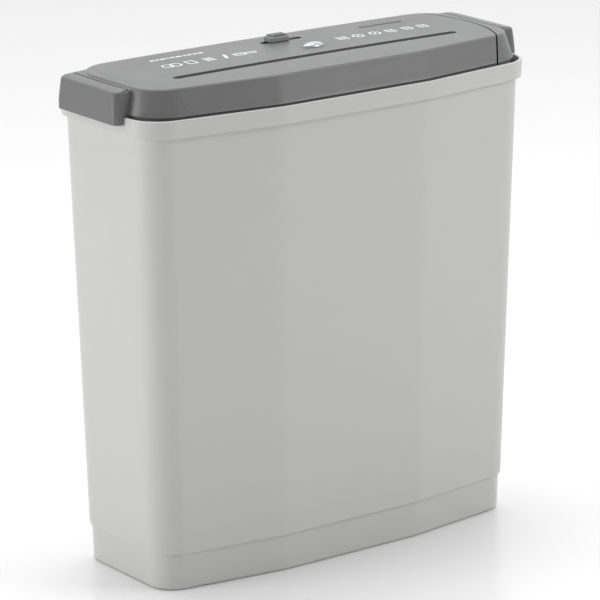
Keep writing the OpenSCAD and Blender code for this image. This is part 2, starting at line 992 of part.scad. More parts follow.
module frame_screws() {
    color(steel)
    at_feet()
        translate([0, 0, housing_z - screw_head_h]) screw_up(8);
}

module cap_screws() {
    color(steel)
    at_pads(cap_pad)
        translate([0, 0, ledge_z - screw_head_h]) screw_up(flange_t + 8);
}

module cover_screws() {
    color(steel)
    at_pads(cover_pad)
        translate([0, 0, ledge_z - screw_head_h]) screw_up(flange_t + 8);
}

module motor_screws() {
    color(steel)
    for (s = [-1, 1])
        screw_in(motor_axis + [12 * s, 0], plate_out, plate_t + 3);
}

module gearbox_screws() {
    color(steel)
    for (at = pillars)
        screw_in([at[0], cutter_z + at[1]], gearbox_in + 1.6, 7);
}

module board_screws() {
    color(steel)
    for (x = [-100, -12])
        translate([x, 46, housing_z + 20]) {
            rotate([-90, 0, 0]) cylinder(r = screw_r, h = 5, $fn = 32);
            rotate([90, 0, 0]) cylinder(r = screw_head_r, h = 1.6, $fn = 32);
        }
}

waste_bin();
lower_housing();
top_cover();
left_end_cap();
right_end_cap();
paper_guide();
indicator_lens();
mode_knob();
mode_switch();
sensor_lever();
sensor_switch();
sensor_pin();
left_side_plate();
right_side_plate();
tie_rods();
cutter_bushes();
front_cutter_shaft();
front_cutter_discs();
front_sync_gear();
rear_cutter_shaft();
rear_cutter_discs();
rear_sync_gear();
cutter_drive_gear();
front_comb();
rear_comb();
motor_can();
motor_end_bell();
motor_magnets();
motor_shaft();
motor_armature();
motor_fan();
motor_pinion();
first_gear();
first_axle();
second_gear();
second_axle();
gearbox_cover();
gearbox_pillars();
control_board();
board_components();
cord_gland();
frame_feet();
frame_screws();
cap_screws();
cover_screws();
motor_screws();
gearbox_screws();
board_screws();
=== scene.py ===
# Strip-cut paper shredder: a grey motor head that sits in the rim of a pale tapered waste bin.
# Metres, +Z up, the same frame as the CAD. The front faces -Y and the slot runs along X.
import math

import bmesh
import bpy
from mathutils import Matrix, Quaternion, Vector


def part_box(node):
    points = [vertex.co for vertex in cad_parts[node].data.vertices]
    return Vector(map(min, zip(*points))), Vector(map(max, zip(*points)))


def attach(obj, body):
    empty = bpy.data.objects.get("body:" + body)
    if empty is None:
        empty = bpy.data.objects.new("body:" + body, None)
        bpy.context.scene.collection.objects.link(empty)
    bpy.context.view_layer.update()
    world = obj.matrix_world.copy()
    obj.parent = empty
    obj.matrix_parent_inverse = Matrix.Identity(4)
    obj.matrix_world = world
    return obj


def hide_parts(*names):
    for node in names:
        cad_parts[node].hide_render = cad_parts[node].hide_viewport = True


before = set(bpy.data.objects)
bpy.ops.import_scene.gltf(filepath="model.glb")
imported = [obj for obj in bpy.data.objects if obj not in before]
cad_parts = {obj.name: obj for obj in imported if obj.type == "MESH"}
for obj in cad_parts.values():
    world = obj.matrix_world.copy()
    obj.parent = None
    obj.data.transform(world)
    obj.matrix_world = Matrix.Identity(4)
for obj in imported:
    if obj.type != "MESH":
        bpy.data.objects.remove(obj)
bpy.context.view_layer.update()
MM = 0.001

# ---------------------------------------------------------------------------------------
# Camera: a long lens on a tripod, in front of the machine and to its left, a little above
# the rim. It turns a hair anticlockwise, as a hand-levelled tripod does.
bin_low, bin_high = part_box("waste_bin")
look_at = Vector((0.0022, 0, (bin_high.z - bin_low.z) * 0.5136))
camera_azimuth = math.radians(36.28)
camera_elevation = math.radians(16.02)
camera_roll = math.radians(-0.42)
camera_distance = 2.516

camera = bpy.data.objects.new("camera", bpy.data.cameras.new("camera"))
bpy.context.scene.collection.objects.link(camera)
away = Vector((
    -math.sin(camera_azimuth) * math.cos(camera_elevation),
    -math.cos(camera_azimuth) * math.cos(camera_elevation),
    math.sin(camera_elevation),
))
camera.location = look_at + away * camera_distance
camera.rotation_mode = "QUATERNION"
camera.rotation_quaternion = away.to_track_quat("Z", "Y") @ Quaternion((0, 0, 1), camera_roll)
camera.data.lens = 227.0
camera.data.sensor_width = 36
camera.data.clip_end = 50
bpy.context.scene.camera = camera
bpy.context.scene.view_settings.view_transform = "Standard"

# ---------------------------------------------------------------------------------------
# Studio: a flat pale board under and behind the machine, a large soft light on its
# left, a second one in front on its right, a third above it, and a pale surround.
def new_material(name):
    material = bpy.data.materials.new(name)
    material.use_nodes = True
    return material, material.node_tree, material.node_tree.nodes["Principled BSDF"]


def add_node(tree, kind, values=None, **settings):
    """A new node with its settings, and the values of the inputs that stay unlinked."""
    node = tree.nodes.new(kind)
    for name, value in settings.items():
        setattr(node, name, value)
    for name, value in (values or {}).items():
        node.inputs[name].default_value = value
    return node


def wire(tree, *links):
    """Links nodes: each link is (node, its output, node, its input)."""
    for source, output, target, entry in links:
        tree.links.new(source.outputs[output], target.inputs[entry])


def soft_light(name, place, aim, size, power):
    light = bpy.data.objects.new(name, bpy.data.lights.new(name, "AREA"))
    light.data.shape = "RECTANGLE"
    light.data.size, light.data.size_y = size
    light.data.energy = power
    light.location = place
    light.rotation_mode = "QUATERNION"
    light.rotation_quaternion = (Vector(place) - Vector(aim)).to_track_quat("Z", "Y")
    bpy.context.scene.collection.objects.link(light)
    return light


floor_data = bpy.data.meshes.new("studio_floor")
reach = 6.0
floor_data.from_pydata(
    [(-reach, -reach, 0), (reach, -reach, 0), (reach, reach, 0), (-reach, reach, 0)],
    [], [(0, 1, 2, 3)],
)
studio_floor = bpy.data.objects.new("studio_floor", floor_data)
bpy.context.scene.collection.objects.link(studio_floor)
floor_board, _, floor_shader = new_material("studio_board")
floor_shader.inputs["Base Color"].default_value = (0.90, 0.90, 0.90, 1)
floor_shader.inputs["Roughness"].default_value = 0.22
floor_data.materials.append(floor_board)

# the surround is bright behind the machine and dimmer in front of it
world = bpy.data.worlds.new("surround")
world.use_nodes = True
sky = world.node_tree
sky_way = add_node(sky, "ShaderNodeTexCoord")
sky_behind = add_node(
    sky, "ShaderNodeVectorMath",
    {1: (math.sin(camera_azimuth), math.cos(camera_azimuth), 0.25)}, operation="DOT_PRODUCT")
sky_level = add_node(
    sky, "ShaderNodeMapRange",
    {"From Min": -0.2, "From Max": 0.8, "To Min": 0.34, "To Max": 1.05})
wire(sky, (sky_way, "Generated", sky_behind, 0), (sky_behind, "Value", sky_level, "Value"))
sky.links.new(sky_level.outputs["Result"], sky.nodes["Background"].inputs["Strength"])
sky.nodes["Background"].inputs["Color"].default_value = (1, 1, 1, 1)
bpy.context.scene.world = world

middle = (0, 0, bin_high.z / 2)
soft_light("left_softbox", (-1.7, 0.55, 0.55), middle, (0.7, 1.2), 11)
soft_light("right_softbox", (1.2, -1.3, 1.25), (0, 0, bin_high.z), (0.8, 0.8), 11)
soft_light("top_softbox", (0.1, 0.3, 2.2), middle, (1.6, 1.4), 22)

# ---------------------------------------------------------------------------------------
# Shared finishes: the fine matt grain that a spark-eroded mould leaves on plastic, and the
# faint uneven tone of a handled moulding.
def add_sockets(group, *sockets):
    """A node group's sockets: each is (name, kind, way, value where it has one)."""
    for name, kind, way, *value in sockets:
        socket = group.interface.new_socket(
            name=name, in_out=way, socket_type="NodeSocket" + kind)
        if value:
            socket.default_value = value[0]


def build_grain_group():
    group = bpy.data.node_groups.new("mould_grain", "ShaderNodeTree")
    add_sockets(
        group, ("Grain per metre", "Float", "INPUT", 2500),
        ("Grain depth", "Float", "INPUT", 0.1), ("Sink depth", "Float", "INPUT", 0.1),
        ("Normal", "Vector", "OUTPUT"))
    given = add_node(group, "NodeGroupInput")
    put = add_node(group, "NodeGroupOutput")
    place = add_node(group, "ShaderNodeTexCoord")
    grain = add_node(group, "ShaderNodeTexNoise", {"Detail": 3})
    sink = add_node(group, "ShaderNodeTexNoise", {"Scale": 18, "Detail": 1})
    fine = add_node(group, "ShaderNodeBump", {"Distance": 0.00004})
    broad = add_node(group, "ShaderNodeBump", {"Distance": 0.0006})
    wire(
        group, (place, "Object", grain, "Vector"), (place, "Object", sink, "Vector"),
        (given, "Grain per metre", grain, "Scale"), (given, "Grain depth", fine, "Strength"),
        (given, "Sink depth", broad, "Strength"), (sink, "Fac", broad, "Height"),
        (grain, "Fac", fine, "Height"), (broad, "Normal", fine, "Normal"),
        (fine, "Normal", put, "Normal"))
    return group


def build_tone_group():
    group = bpy.data.node_groups.new("handled_tone", "ShaderNodeTree")
    add_sockets(
        group, ("Colour", "Color", "INPUT", (0.5, 0.5, 0.5, 1)),
        ("Uneven", "Float", "INPUT", 0.05), ("Rough low", "Float", "INPUT", 0.4),
        ("Rough high", "Float", "INPUT", 0.5), ("Colour", "Color", "OUTPUT"),
        ("Roughness", "Float", "OUTPUT"))
    given = add_node(group, "NodeGroupInput")
    put = add_node(group, "NodeGroupOutput")
    place = add_node(group, "ShaderNodeTexCoord")
    cloud = add_node(group, "ShaderNodeTexNoise", {"Scale": 26, "Detail": 5})
    low = add_node(group, "ShaderNodeMath", {0: 1}, operation="SUBTRACT")
    tone = add_node(group, "ShaderNodeMapRange")
    shade = add_node(group, "ShaderNodeVectorMath", operation="SCALE")
    rough = add_node(group, "ShaderNodeMapRange", {"From Min": 0.3, "From Max": 0.7})
    wire(
        group, (place, "Object", cloud, "Vector"), (given, "Uneven", low, 1),
        (cloud, "Fac", tone, "Value"), (low, "Value", tone, "To Min"),
        (given, "Colour", shade, 0), (tone, "Result", shade, "Scale"),
        (cloud, "Fac", rough, "Value"), (given, "Rough low", rough, "To Min"),
        (given, "Rough high", rough, "To Max"), (shade, "Vector", put, "Colour"),
        (rough, "Result", put, "Roughness"))
    return group


mould_grain = build_grain_group()
handled_tone = build_tone_group()


def plastic(name, colour, rough, uneven=0.05, grain=0.25, sink=0.0, per_metre=2500):
    """Moulded plastic: rough is (low, high)."""
    material, tree, shader = new_material(name)
    tone = add_node(
        tree, "ShaderNodeGroup",
        {"Colour": (*colour, 1), "Uneven": uneven, "Rough low": rough[0],
         "Rough high": rough[1]}, node_tree=handled_tone)
    skin = add_node(
        tree, "ShaderNodeGroup",
        {"Grain per metre": per_metre, "Grain depth": grain, "Sink depth": sink},
        node_tree=mould_grain)
    wire(
        tree, (tone, "Colour", shader, "Base Color"), (tone, "Roughness", shader, "Roughness"),
        (skin, "Normal", shader, "Normal"))
    return material


# ---------------------------------------------------------------------------------------
# Waste bin: one pale grey polypropylene moulding. Its front and back are three flat panels,
# a collar stiffens the rim, and a ledge inside the collar carries the head.
collar_out = 3.6 * MM
collar_h = 11.7 * MM
bin_wall = 2.2 * MM
bin_floor = 2.6 * MM
foot_h = 25 * MM
foot_in = 1.6 * MM
taper_w = 16 * MM
taper_d = 10 * MM
corner_r = 20 * MM
panel_half = 58 * MM
panel_fall = 9.6 * MM
rim_z = bin_high.z
ledge_z = rim_z - collar_h + bin_wall
rim_half_w = bin_high.x - collar_out
rim_half_d = bin_high.y - collar_out


def quarter_plan(half_w, half_d, radius, fall=panel_fall, corner_steps=16):
    """Points from the middle of a panelled side round the corner to the middle of the end."""
    panel = panel_half * half_w / rim_half_w
    crease = 1.2 * MM
    run = half_w - radius - panel
    drop = fall + radius
    turn = math.acos(radius / math.hypot(run, drop)) - math.atan2(run, drop)
    centre = Vector((half_w - radius, half_d - drop))
    start = centre + radius * Vector((math.sin(turn), math.cos(turn)))
    fold = Vector((panel, half_d))
    facet = start - fold
    reach = facet.length
    points = [Vector((panel * part, half_d)) for part in (0, 0.25, 0.5, 0.75)]
    points += [fold - Vector((crease * 3, 0)), fold - Vector((crease, 0))]
    points += [fold + facet * (crease / reach), fold + facet * (3 * crease / reach)]
    points += [fold + facet * part for part in (0.25, 0.5, 0.75)]
    for step in range(corner_steps + 1):
        angle = turn + (math.pi / 2 - turn) * step / corner_steps
        points.append(centre + radius * Vector((math.sin(angle), math.cos(angle))))
    points += [Vector((half_w, centre.y * part)) for part in (0.8, 0.5, 0.25, 0)]
    return points


def plan_ring(half_w, front, back, radius, back_fall=panel_fall):
    """A closed outline, anticlockwise from the middle of the front."""
    fore = quarter_plan(half_w, front, radius)
    aft = quarter_plan(half_w, back, radius, back_fall)
    ring = [(p.x, -p.y) for p in fore]
    ring += [(p.x, p.y) for p in reversed(aft[:-1])]
    ring += [(-p.x, p.y) for p in aft[1:]]
    ring += [(-p.x, -p.y) for p in reversed(fore[1:-1])]
    return ring


def rounded_profile(corners, steps=4):
    """(inset, height, radius) corners joined by straight runs, each corner turned to an arc."""
    points = []
    for i, (u, v, radius) in enumerate(corners):
        here = Vector((u, v))
        if radius == 0 or i in (0, len(corners) - 1):
            points.append(here)
            continue
        before = (Vector(corners[i - 1][:2]) - here).normalized()
        after = (Vector(corners[i + 1][:2]) - here).normalized()
        half = before.angle(after) / 2
        reach = radius / math.tan(half)
        first, last = here + before * reach, here + after * reach
        centre = here + (before + after).normalized() * radius / math.sin(half)
        for k in range(steps + 1):
            spoke = (first - centre).slerp(last - centre, k / steps)
            points.append(centre + spoke.normalized() * radius)
    return points


def loft(rings, cap_first=True, cap_last=True):
    """Faces between successive closed rings of 3-D points, with a fan on the end rings."""
    count = len(rings[0])
    points = [p for ring in rings for p in ring]
    faces = []
    for i in range(len(rings) - 1):
        for j in range(count):
            k = (j + 1) % count
            faces.append((i * count + j, i * count + k, (i + 1) * count + k, (i + 1) * count + j))
    for wanted, base in ((cap_first, 0), (cap_last, (len(rings) - 1) * count)):
        if wanted:
            ring = points[base:base + count]
            hub = len(points)
            points.append(sum((Vector(p) for p in ring), Vector()) / count)
            faces += [(base + j, base + (j + 1) % count, hub) for j in range(count)]
    return points, faces


def mesh_object(name, points, faces, material=None):
    data = bpy.data.meshes.new(name)
    data.from_pydata([tuple(p) for p in points], [], faces)
    shell = bmesh.new()
    shell.from_mesh(data)
    bmesh.ops.remove_doubles(shell, verts=shell.verts, dist=1e-7)
    bmesh.ops.recalc_face_normals(shell, faces=shell.faces)
    shell.to_mesh(data)
    shell.free()
    if material:
        data.materials.append(material)
    piece = bpy.data.objects.new(name, data)
    bpy.context.scene.collection.objects.link(piece)
    return piece


def smooth(piece, angle=32):
    """Rounded faces shade smoothly and flat ones stay flat."""
    piece.data.polygons.foreach_set("use_smooth", [True] * len(piece.data.polygons))
    piece.data.set_sharp_from_angle(angle=math.radians(angle))
    even = piece.modifiers.new("even_normals", "WEIGHTED_NORMAL")
    even.keep_sharp = True
    even.weight = 80
    return piece


def as_plain_mesh(piece):
    """The piece with its modifiers worked into its mesh."""
    graph = bpy.context.evaluated_depsgraph_get()
    graph.update()
    made = bpy.data.meshes.new_from_object(piece.evaluated_get(graph), depsgraph=graph)
    old = piece.data
    piece.modifiers.clear()
    piece.data = made
    made.name = piece.name
    bpy.data.meshes.remove(old)
    return piece


def finish_piece(piece, body, slot_name, *nodes):
    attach(piece, body)
    if nodes:
        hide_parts(*nodes)
    return piece


bin_plastic = plastic("bin_plastic", (0.605, 0.605, 0.60), (0.40, 0.48), 0.02, 0.18, 0.05, 1800)

bin_profile = rounded_profile([
    (foot_in + 12 * MM, 0, 0),
    (foot_in, 0, 2.2 * MM),
    (foot_in, foot_h, 0.5 * MM),
    (0, foot_h, 0.5 * MM),
    (0, rim_z - collar_h, 0.4 * MM),
    (-collar_out, rim_z - collar_h, 0.4 * MM),
    (-collar_out, rim_z, 0.5 * MM),
    (-collar_out + bin_wall, rim_z, 0.4 * MM),
    (-collar_out + bin_wall, ledge_z, 0.5 * MM),
    (bin_wall, ledge_z, 0.5 * MM),
    (bin_wall, foot_h + bin_wall, 0.5 * MM),
    (foot_in + bin_wall, foot_h + bin_wall, 0.5 * MM),
    (foot_in + bin_wall, bin_floor, 3 * MM),
    (foot_in + 16 * MM, bin_floor, 0),
])


def bin_ring(inset, z):
    rest = 1 - z / rim_z
    half_w = rim_half_w - taper_w / 2 * rest - inset
    half_d = rim_half_d - taper_d / 2 * rest - inset
    radius = max(corner_r - inset, 3 * MM)
    return [(x, y, z) for x, y in plan_ring(half_w, half_d, half_d, radius)]


waste_bin = mesh_object("bin_shell", *loft([bin_ring(u, z) for u, z in bin_profile]), bin_plastic)
smooth(waste_bin)
finish_piece(as_plain_mesh(waste_bin), "bin", "bin_plastic", "waste_bin")

# ---------------------------------------------------------------------------------------
# Head shell: one crowned form in satin grey plastic, moulded as a middle cover and two end
# caps. The front leans back, the rear falls in a long slope, and each cap has a lifting grip.
head_gap = 0.6 * MM
head_half_w = rim_half_w + collar_out - bin_wall - head_gap
head_half_d = rim_half_d + collar_out - bin_wall - head_gap
head_r = 28 * MM
cover_low, cover_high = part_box("top_cover")
head_top = cover_high.z
skirt_z = cover_low.z
crown_drop = 1.0 * MM
end_slope = 0.16
front_lean = 5.6 * MM
end_lean = 4.0 * MM
back_run = 24 * MM
shoulder_r = 1.8 * MM
cover_wall = 2.4 * MM
seam_r = 95 * MM
seam_cx = 47 * MM
seam_gap = 1.15 * MM


def top_z(x, y):
    """Height of the top over a point of its plan: nearly flat, and falling past the ends."""
    past = max(0.0, abs(x) - (head_half_w - end_lean))
    return head_top - crown_drop * (x / head_half_w) ** 2 - end_slope * past


def head_ring(part, lift=None, inset=0.0):
    """A ring up the side walls: part 0 at the rim to 1 at the shoulder, then over the edge."""
    plan = plan_ring(
        head_half_w - end_lean * part - inset,
        head_half_d - front_lean * part - inset,
        head_half_d - back_run * part - inset,
        head_r - 3 * MM * part - inset * 0.6,
        panel_fall * (1 - part),
    )
    ring = []
    for x, y in plan:
        top = top_z(x, y)
        z = rim_z + (top - shoulder_r - rim_z) * part if lift is None else top - shoulder_r + lift
        ring.append((x, y, z))
    return ring


# the foot of the shell is let in a little, which leaves a dark line above the rim
rebate = 1.5 * MM
rebate_z = rim_z + 0.9 * MM
head_rings = [
    [(x, y, height) for x, y, z in head_ring(0, inset=inset)]
    for inset, height in ((rebate, skirt_z), (rebate, rebate_z), (0.2 * MM, rebate_z + 0.4 * MM))
]
head_rings += [head_ring(part) for part in (0.1, 0.2, 0.4, 0.6, 0.8, 1)]
for step in range(1, 7):
    angle = math.pi / 2 * step / 6
    inset = shoulder_r * (1 - math.cos(angle))
    head_rings.append(head_ring(1, shoulder_r * math.sin(angle), inset))
edge_ring = head_rings[-1]
spine_x = 70 * MM
spine_y = -6 * MM
half_count = len(edge_ring) // 2
for share in (0.97, 0.9, 0.8, 0.7, 0.6, 0.5, 0.4, 0.3, 0.2, 0.1, 0):
    ring = []
    for j, (x, y, z) in enumerate(edge_ring):
        across = edge_ring[(half_count - j) % len(edge_ring)][0]
        cx = max(-spine_x, min(spine_x, (x + across) / 2))
        px, py = cx + (x - cx) * share, spine_y + (y - spine_y) * share
        ring.append((px, py, top_z(px, py)))
    head_rings.append(ring)


def head_solid(name):
    """The head's outside, thickened inwards to a closed shell."""
    points, faces = loft(head_rings, cap_first=False, cap_last=False)
    shell = mesh_object(name, points, faces)
    thick = shell.modifiers.new("wall", "SOLIDIFY")
    thick.thickness = cover_wall
    thick.offset = -1
    thick.use_even_offset = True
    return as_plain_mesh(shell)


def prism(name, outline, z0, z1):
    """A closed upright block over a plan outline."""
    return mesh_object(name, *loft([[(x, y, z) for x, y in outline] for z in (z0, z1)]))


def carve(piece, tool, operation):
    cut = piece.modifiers.new("cut", "BOOLEAN")
    cut.operation = operation
    cut.solver = "EXACT"
    cut.use_self = True
    cut.object = tool
    as_plain_mesh(piece)
    return piece


def in_material(piece, material):
    piece.data.materials.clear()
    piece.data.materials.append(material)


def throw_away(*tools):
    for tool in tools:
        data = tool.data
        bpy.data.objects.remove(tool)
        bpy.data.meshes.remove(data)


def between_seams(grow, steps=64):
    """Plan of the middle cover: two long arcs for its ends."""
    deep = head_half_d + 5 * MM
    half = math.asin(deep / (seam_r + grow))
    arc = []
    for step in range(steps + 1):
        angle = -half + 2 * half * step / steps
        arc.append((
            seam_cx + (seam_r + grow) * math.cos(angle),
            (seam_r + grow) * math.sin(angle),
        ))
    return arc + [(-x, -y) for x, y in arc]


def stadium(cx, cy, length, width, steps=12):
    """A slot outline along X with round ends."""
    half, r = (length - width) / 2, width / 2
    ring = []
    for side in (1, -1):
        for step in range(steps + 1):
            angle = -math.pi / 2 + math.pi * step / steps
            ring.append((
                cx + side * (half + r * math.cos(angle)),
                cy + side * r * math.sin(angle),
            ))
    return ring


def soften(piece, width=0.35 * MM, angle=38):
    """The small radius that every edge of a moulding has."""
    edge = piece.modifiers.new("edge", "BEVEL")
    edge.width = width
    edge.segments = 2
    edge.limit_method = "ANGLE"
    edge.angle_limit = math.radians(angle)
    edge.use_clamp_overlap = True
    as_plain_mesh(piece)
    return piece


head_plastic = plastic("head_plastic", (0.165, 0.166, 0.168), (0.34, 0.42), 0.05, 0.30, 0.04, 2200)
slot_low, slot_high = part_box("paper_guide")
slot_y = (slot_low.y + slot_high.y) / 2
slot_half_w = 112.5 * MM
slot_gap = 6 * MM
mouth_gap = 8.4 * MM
mouth_depth = 1.0 * MM

middle_cover = head_solid("middle_cover")
seam_block = prism("seam_block", between_seams(0), skirt_z - 0.02, head_top + 0.02)
carve(middle_cover, seam_block, "INTERSECT")
slot_block = prism(
    "slot_block", stadium(0, slot_y, 2 * slot_half_w, slot_gap), skirt_z - 0.02, head_top + 0.02)
carve(middle_cover, slot_block, "DIFFERENCE")
throw_away(seam_block, slot_block)

# the mouth of the slot is let in a little wider, so that a sheet finds it
mouth = prism(
    "mouth", stadium(0, slot_y, 2 * slot_half_w + 3 * MM, mouth_gap),
    head_top - crown_drop - mouth_depth, head_top + 0.02)
for vertex in mouth.data.vertices:
    if vertex.co.z < head_top:
        vertex.co.z = top_z(vertex.co.x, vertex.co.y) - mouth_depth
        vertex.co.y = slot_y + (vertex.co.y - slot_y) * slot_gap / mouth_gap
carve(middle_cover, mouth, "DIFFERENCE")
throw_away(mouth)

# the opening that the mode knob's stem slides in
knob_low, knob_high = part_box("mode_knob")
knob_x, knob_y = (knob_low.x + knob_high.x) / 2, (knob_low.y + knob_high.y) / 2
knob_left, knob_right = 4 * MM, 11 * MM
stem_w = 7 * MM
knob_slot_d = 5.2 * MM
knob_slot_mid = knob_x + (knob_right - knob_left) / 2
knob_slot_w = knob_left + knob_right + 2 * stem_w + 4 * MM
knob_block = prism(
    "knob_block", stadium(knob_slot_mid, knob_y, knob_slot_w, knob_slot_d),
    skirt_z - 0.02, head_top + 0.02)
carve(middle_cover, knob_block, "DIFFERENCE")
throw_away(knob_block)


def round_bar(name, centre, radius, y0, y1, steps=32):
    """A closed bar along Y, to bore with."""
    rim = [math.tau * step / steps for step in range(steps)]
    return mesh_object(name, *loft([
        [(centre[0] + radius * math.cos(a), y, centre[1] + radius * math.sin(a)) for a in rim]
        for y in (y0, y1)]))


# the bore at the back for the cord's gland
gland_low, gland_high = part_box("cord_gland")
gland_at = ((gland_low.x + gland_high.x) / 2, (gland_low.z + gland_high.z) / 2)
gland_r = 5.5 * MM
gland_bore = round_bar("gland_bore", gland_at, gland_r, gland_low.y, gland_high.y + 5 * MM)
carve(middle_cover, gland_bore, "DIFFERENCE")
throw_away(gland_bore)
soften(middle_cover)
in_material(middle_cover, head_plastic)
smooth(middle_cover)
finish_piece(as_plain_mesh(middle_cover), "head", "head_plastic", "top_cover")

# ---------------------------------------------------------------------------------------
# End caps: the two rounded ends of the head, in the same plastic. Each is screwed up from
# below, leaves a narrow seam beside the cover, and hooks over the collar as a lifting grip.
cap_low, cap_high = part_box("right_end_cap")
grip_front = 31 * MM
grip_back = 37 * MM
grip_hang = 4.6 * MM
grip_reach = cap_high.x
grip_r = 4.6 * MM
grip_lean = 1.0 * MM


def grip_ring(z, inset):
    """Outline of the right grip at a height: a block with two rounded outer corners."""
    up = max(0.0, min(1.0, (z - rim_z) / (head_top - crown_drop - rim_z)))
    out = grip_reach - grip_lean * up - inset
    front = -grip_front + 1.5 * MM * up + inset
    back = grip_back - 1.5 * MM * up - inset
    r = grip_r - inset * 0.5
    root = grip_reach - 34 * MM
    ring = [(root, front)]
    for corner, start in (((out - r, front + r), -90), ((out - r, back - r), 0)):
        for step in range(11):
            angle = math.radians(start + 9 * step)
            ring.append((corner[0] + r * math.cos(angle), corner[1] + r * math.sin(angle)))
    ring.append((root, back))
    return ring


def grip_solid(name, wall=0.0):
    """The grip's block, rounded over at the top to follow the crown; wall draws it in."""
    foot = rim_z - grip_hang - 2 * wall
    rings = [[(x, y, z) for x, y in grip_ring(z, wall)] for z in (foot, rim_z, rim_z + 6 * MM)]
    for step in range(7):
        angle = math.pi / 2 * step / 6
        inset = wall + shoulder_r * (1 - math.cos(angle))
        lift = shoulder_r * math.sin(angle) - shoulder_r - 0.05 * MM - wall
        rings.append([(x, y, top_z(x, y) + lift) for x, y in grip_ring(head_top, inset)])
    return mesh_object(name, *loft(rings))


def finger_groove(steps=24):
    """A narrow groove that parts the rolled top of the grip from the rest of the cap."""
    centre = head_half_w - end_lean + 1.4 * MM
    half = 0.55 * MM
    rings = []
    for step in range(steps + 1):
        y = -40 * MM + 76 * MM * step / steps
        x = centre + 1.2 * MM * (1 - (y / (40 * MM)) ** 2)
        top = top_z(x, y)
        rings.append([
            (x - half, y, top + MM), (x - half, y, top - 1.7 * MM),
            (x + half, y, top - 1.7 * MM), (x + half, y, top + MM)])
    return mesh_object("finger_groove", *loft(rings))


close_seam = 0.12 * MM


def end_cap(side):
    cap = head_solid("right_cap" if side > 0 else "left_cap")
    grip = grip_solid("grip")
    carve(cap, grip, "UNION")
    wide = 0.3
    tools = [
        prism("middle_block", between_seams(seam_gap if side > 0 else close_seam),
              skirt_z - 0.02, head_top + 0.02),
        finger_groove(),
        prism("other_half", [(-wide, -wide), (0, -wide), (0, wide), (-wide, wide)], 0.2, 0.4),
        grip_solid("grip_hollow", cover_wall),
        prism("collar_room", [
            (head_half_w + 0.05 * MM, -wide), (bin_high.x + head_gap, -wide),
            (bin_high.x + head_gap, wide), (head_half_w + 0.05 * MM, wide),
        ], 0.2, rim_z + head_gap),
    ]
    for tool in tools:
        carve(cap, tool, "DIFFERENCE")
    throw_away(grip, *tools)
    if side < 0:
        for vertex in cap.data.vertices:
            vertex.co.x = -vertex.co.x
        cap.data.flip_normals()
    soften(cap)
    in_material(cap, head_plastic)
    smooth(cap)
    return finish_piece(
        as_plain_mesh(cap), "head", "head_plastic",
        "right_end_cap" if side > 0 else "left_end_cap")


for side in (-1, 1):
    end_cap(side)

# ---------------------------------------------------------------------------------------
# Printed marks: pale pad-printed signs on the top for what the slot takes, with a row of
# short dashes behind them and a plain dark bar. They are a film of ink, and say nothing.
ink_up = 0.05 * MM
ink_down = 0.08 * MM


def mark(outline, hole=None):
    """A film of ink over a plan outline, following the crown."""
    def level(ring, lift):
        return [(x, y, top_z(x, y) + lift) for x, y in ring]

    rings = [level(outline, -ink_down), level(outline, ink_up)]
    if hole:
        rings += [level(hole, ink_up), level(hole, -ink_down), rings[0]]
    return loft(rings, cap_first=not hole, cap_last=not hole)


def round_mark(cx, cy, radius, steps=20):
    return [
        (cx + radius * math.cos(math.tau * k / steps), cy + radius * math.sin(math.tau * k / steps))
        for k in range(steps)]


def bar_mark(cx, cy, length, width, turn):
    """Outline of a bar whose long side lies at the angle turn from X, in degrees."""
    along = Vector((math.cos(math.radians(turn)), math.sin(math.radians(turn)))) * length / 2
    across = Vector((-along.y, along.x)).normalized() * width / 2
    middle = Vector((cx, cy))
    corners = (-along - across, along - across, along + across, across - along)
    return [tuple(middle + corner) for corner in corners]


def frame_mark(cx, cy, length, width, line, turn):
    return (
        bar_mark(cx, cy, length, width, turn),
        bar_mark(cx, cy, length - 2 * line, width - 2 * line, turn),
    )


def joined(name, parts, material):
    points, faces = [], []
    for some_points, some_faces in parts:
        start = len(points)
        points += [tuple(p) for p in some_points]
        faces += [tuple(start + k for k in face) for face in some_faces]
    return mesh_object(name, points, faces, material)


line = 1.1 * MM
disc_outer, disc_inner = 4.4 * MM, 3.2 * MM
parts = []


def ring_sign(x, y):
    return mark(round_mark(x, y, disc_outer), round_mark(x, y, disc_inner))


def bar_sign(x, y, length, width, turn=0):
    return mark(bar_mark(x, y, length * MM, width * MM, turn))


def frame_sign(x, y, length, width, turn=90):
    return mark(*frame_mark(x, y, length * MM, width * MM, line, turn))


# left row: two discs, a sheet, strips, a slanted bar, a card and a smaller card
left_y = 5.5 * MM
parts += [ring_sign(x * MM, left_y) for x in (-97, -91)]
parts.append(frame_sign(-79 * MM, left_y, 9, 7))
parts += [bar_sign(x * MM, left_y, 9, 1.3, 90) for x in (-67.5, -65, -62.5)]
parts.append(bar_sign(-52 * MM, left_y, 10.5, 2.2, 68))
parts.append(frame_sign(-41 * MM, left_y, 8.5, 6, 0))
parts.append(bar_sign(-41 * MM, left_y + MM, 7, 0.8))
parts.append(frame_sign(-32 * MM, left_y, 8.5, 4, 0))
# right row: strips, two crossed rings and three crossed sheets
right_y = 3.5 * MM
parts += [bar_sign(x * MM, right_y, 8, 1.3, 90) for x in (38, 41, 44)]
for x in (54, 68):
    parts += [ring_sign(x * MM, right_y), bar_sign(x * MM, right_y, 5.6, 0.8, 45)]
for x in (81, 95, 108):
    parts += [frame_sign(x * MM, right_y, 7.5, 7), bar_sign(x * MM, right_y, 4.4, 0.8, 20)]
# a row of dashes of uneven length behind the left row
dash_x = -98 * MM
for length in (3.4, 2.2, 4.6, 1.6, 3.0, 5.2, 2.0, 3.8, 2.6, 4.0):
    parts.append(bar_sign(dash_x + length * MM / 2, 24.5 * MM, length, 2.3))
    dash_x += (length + 1.0) * MM

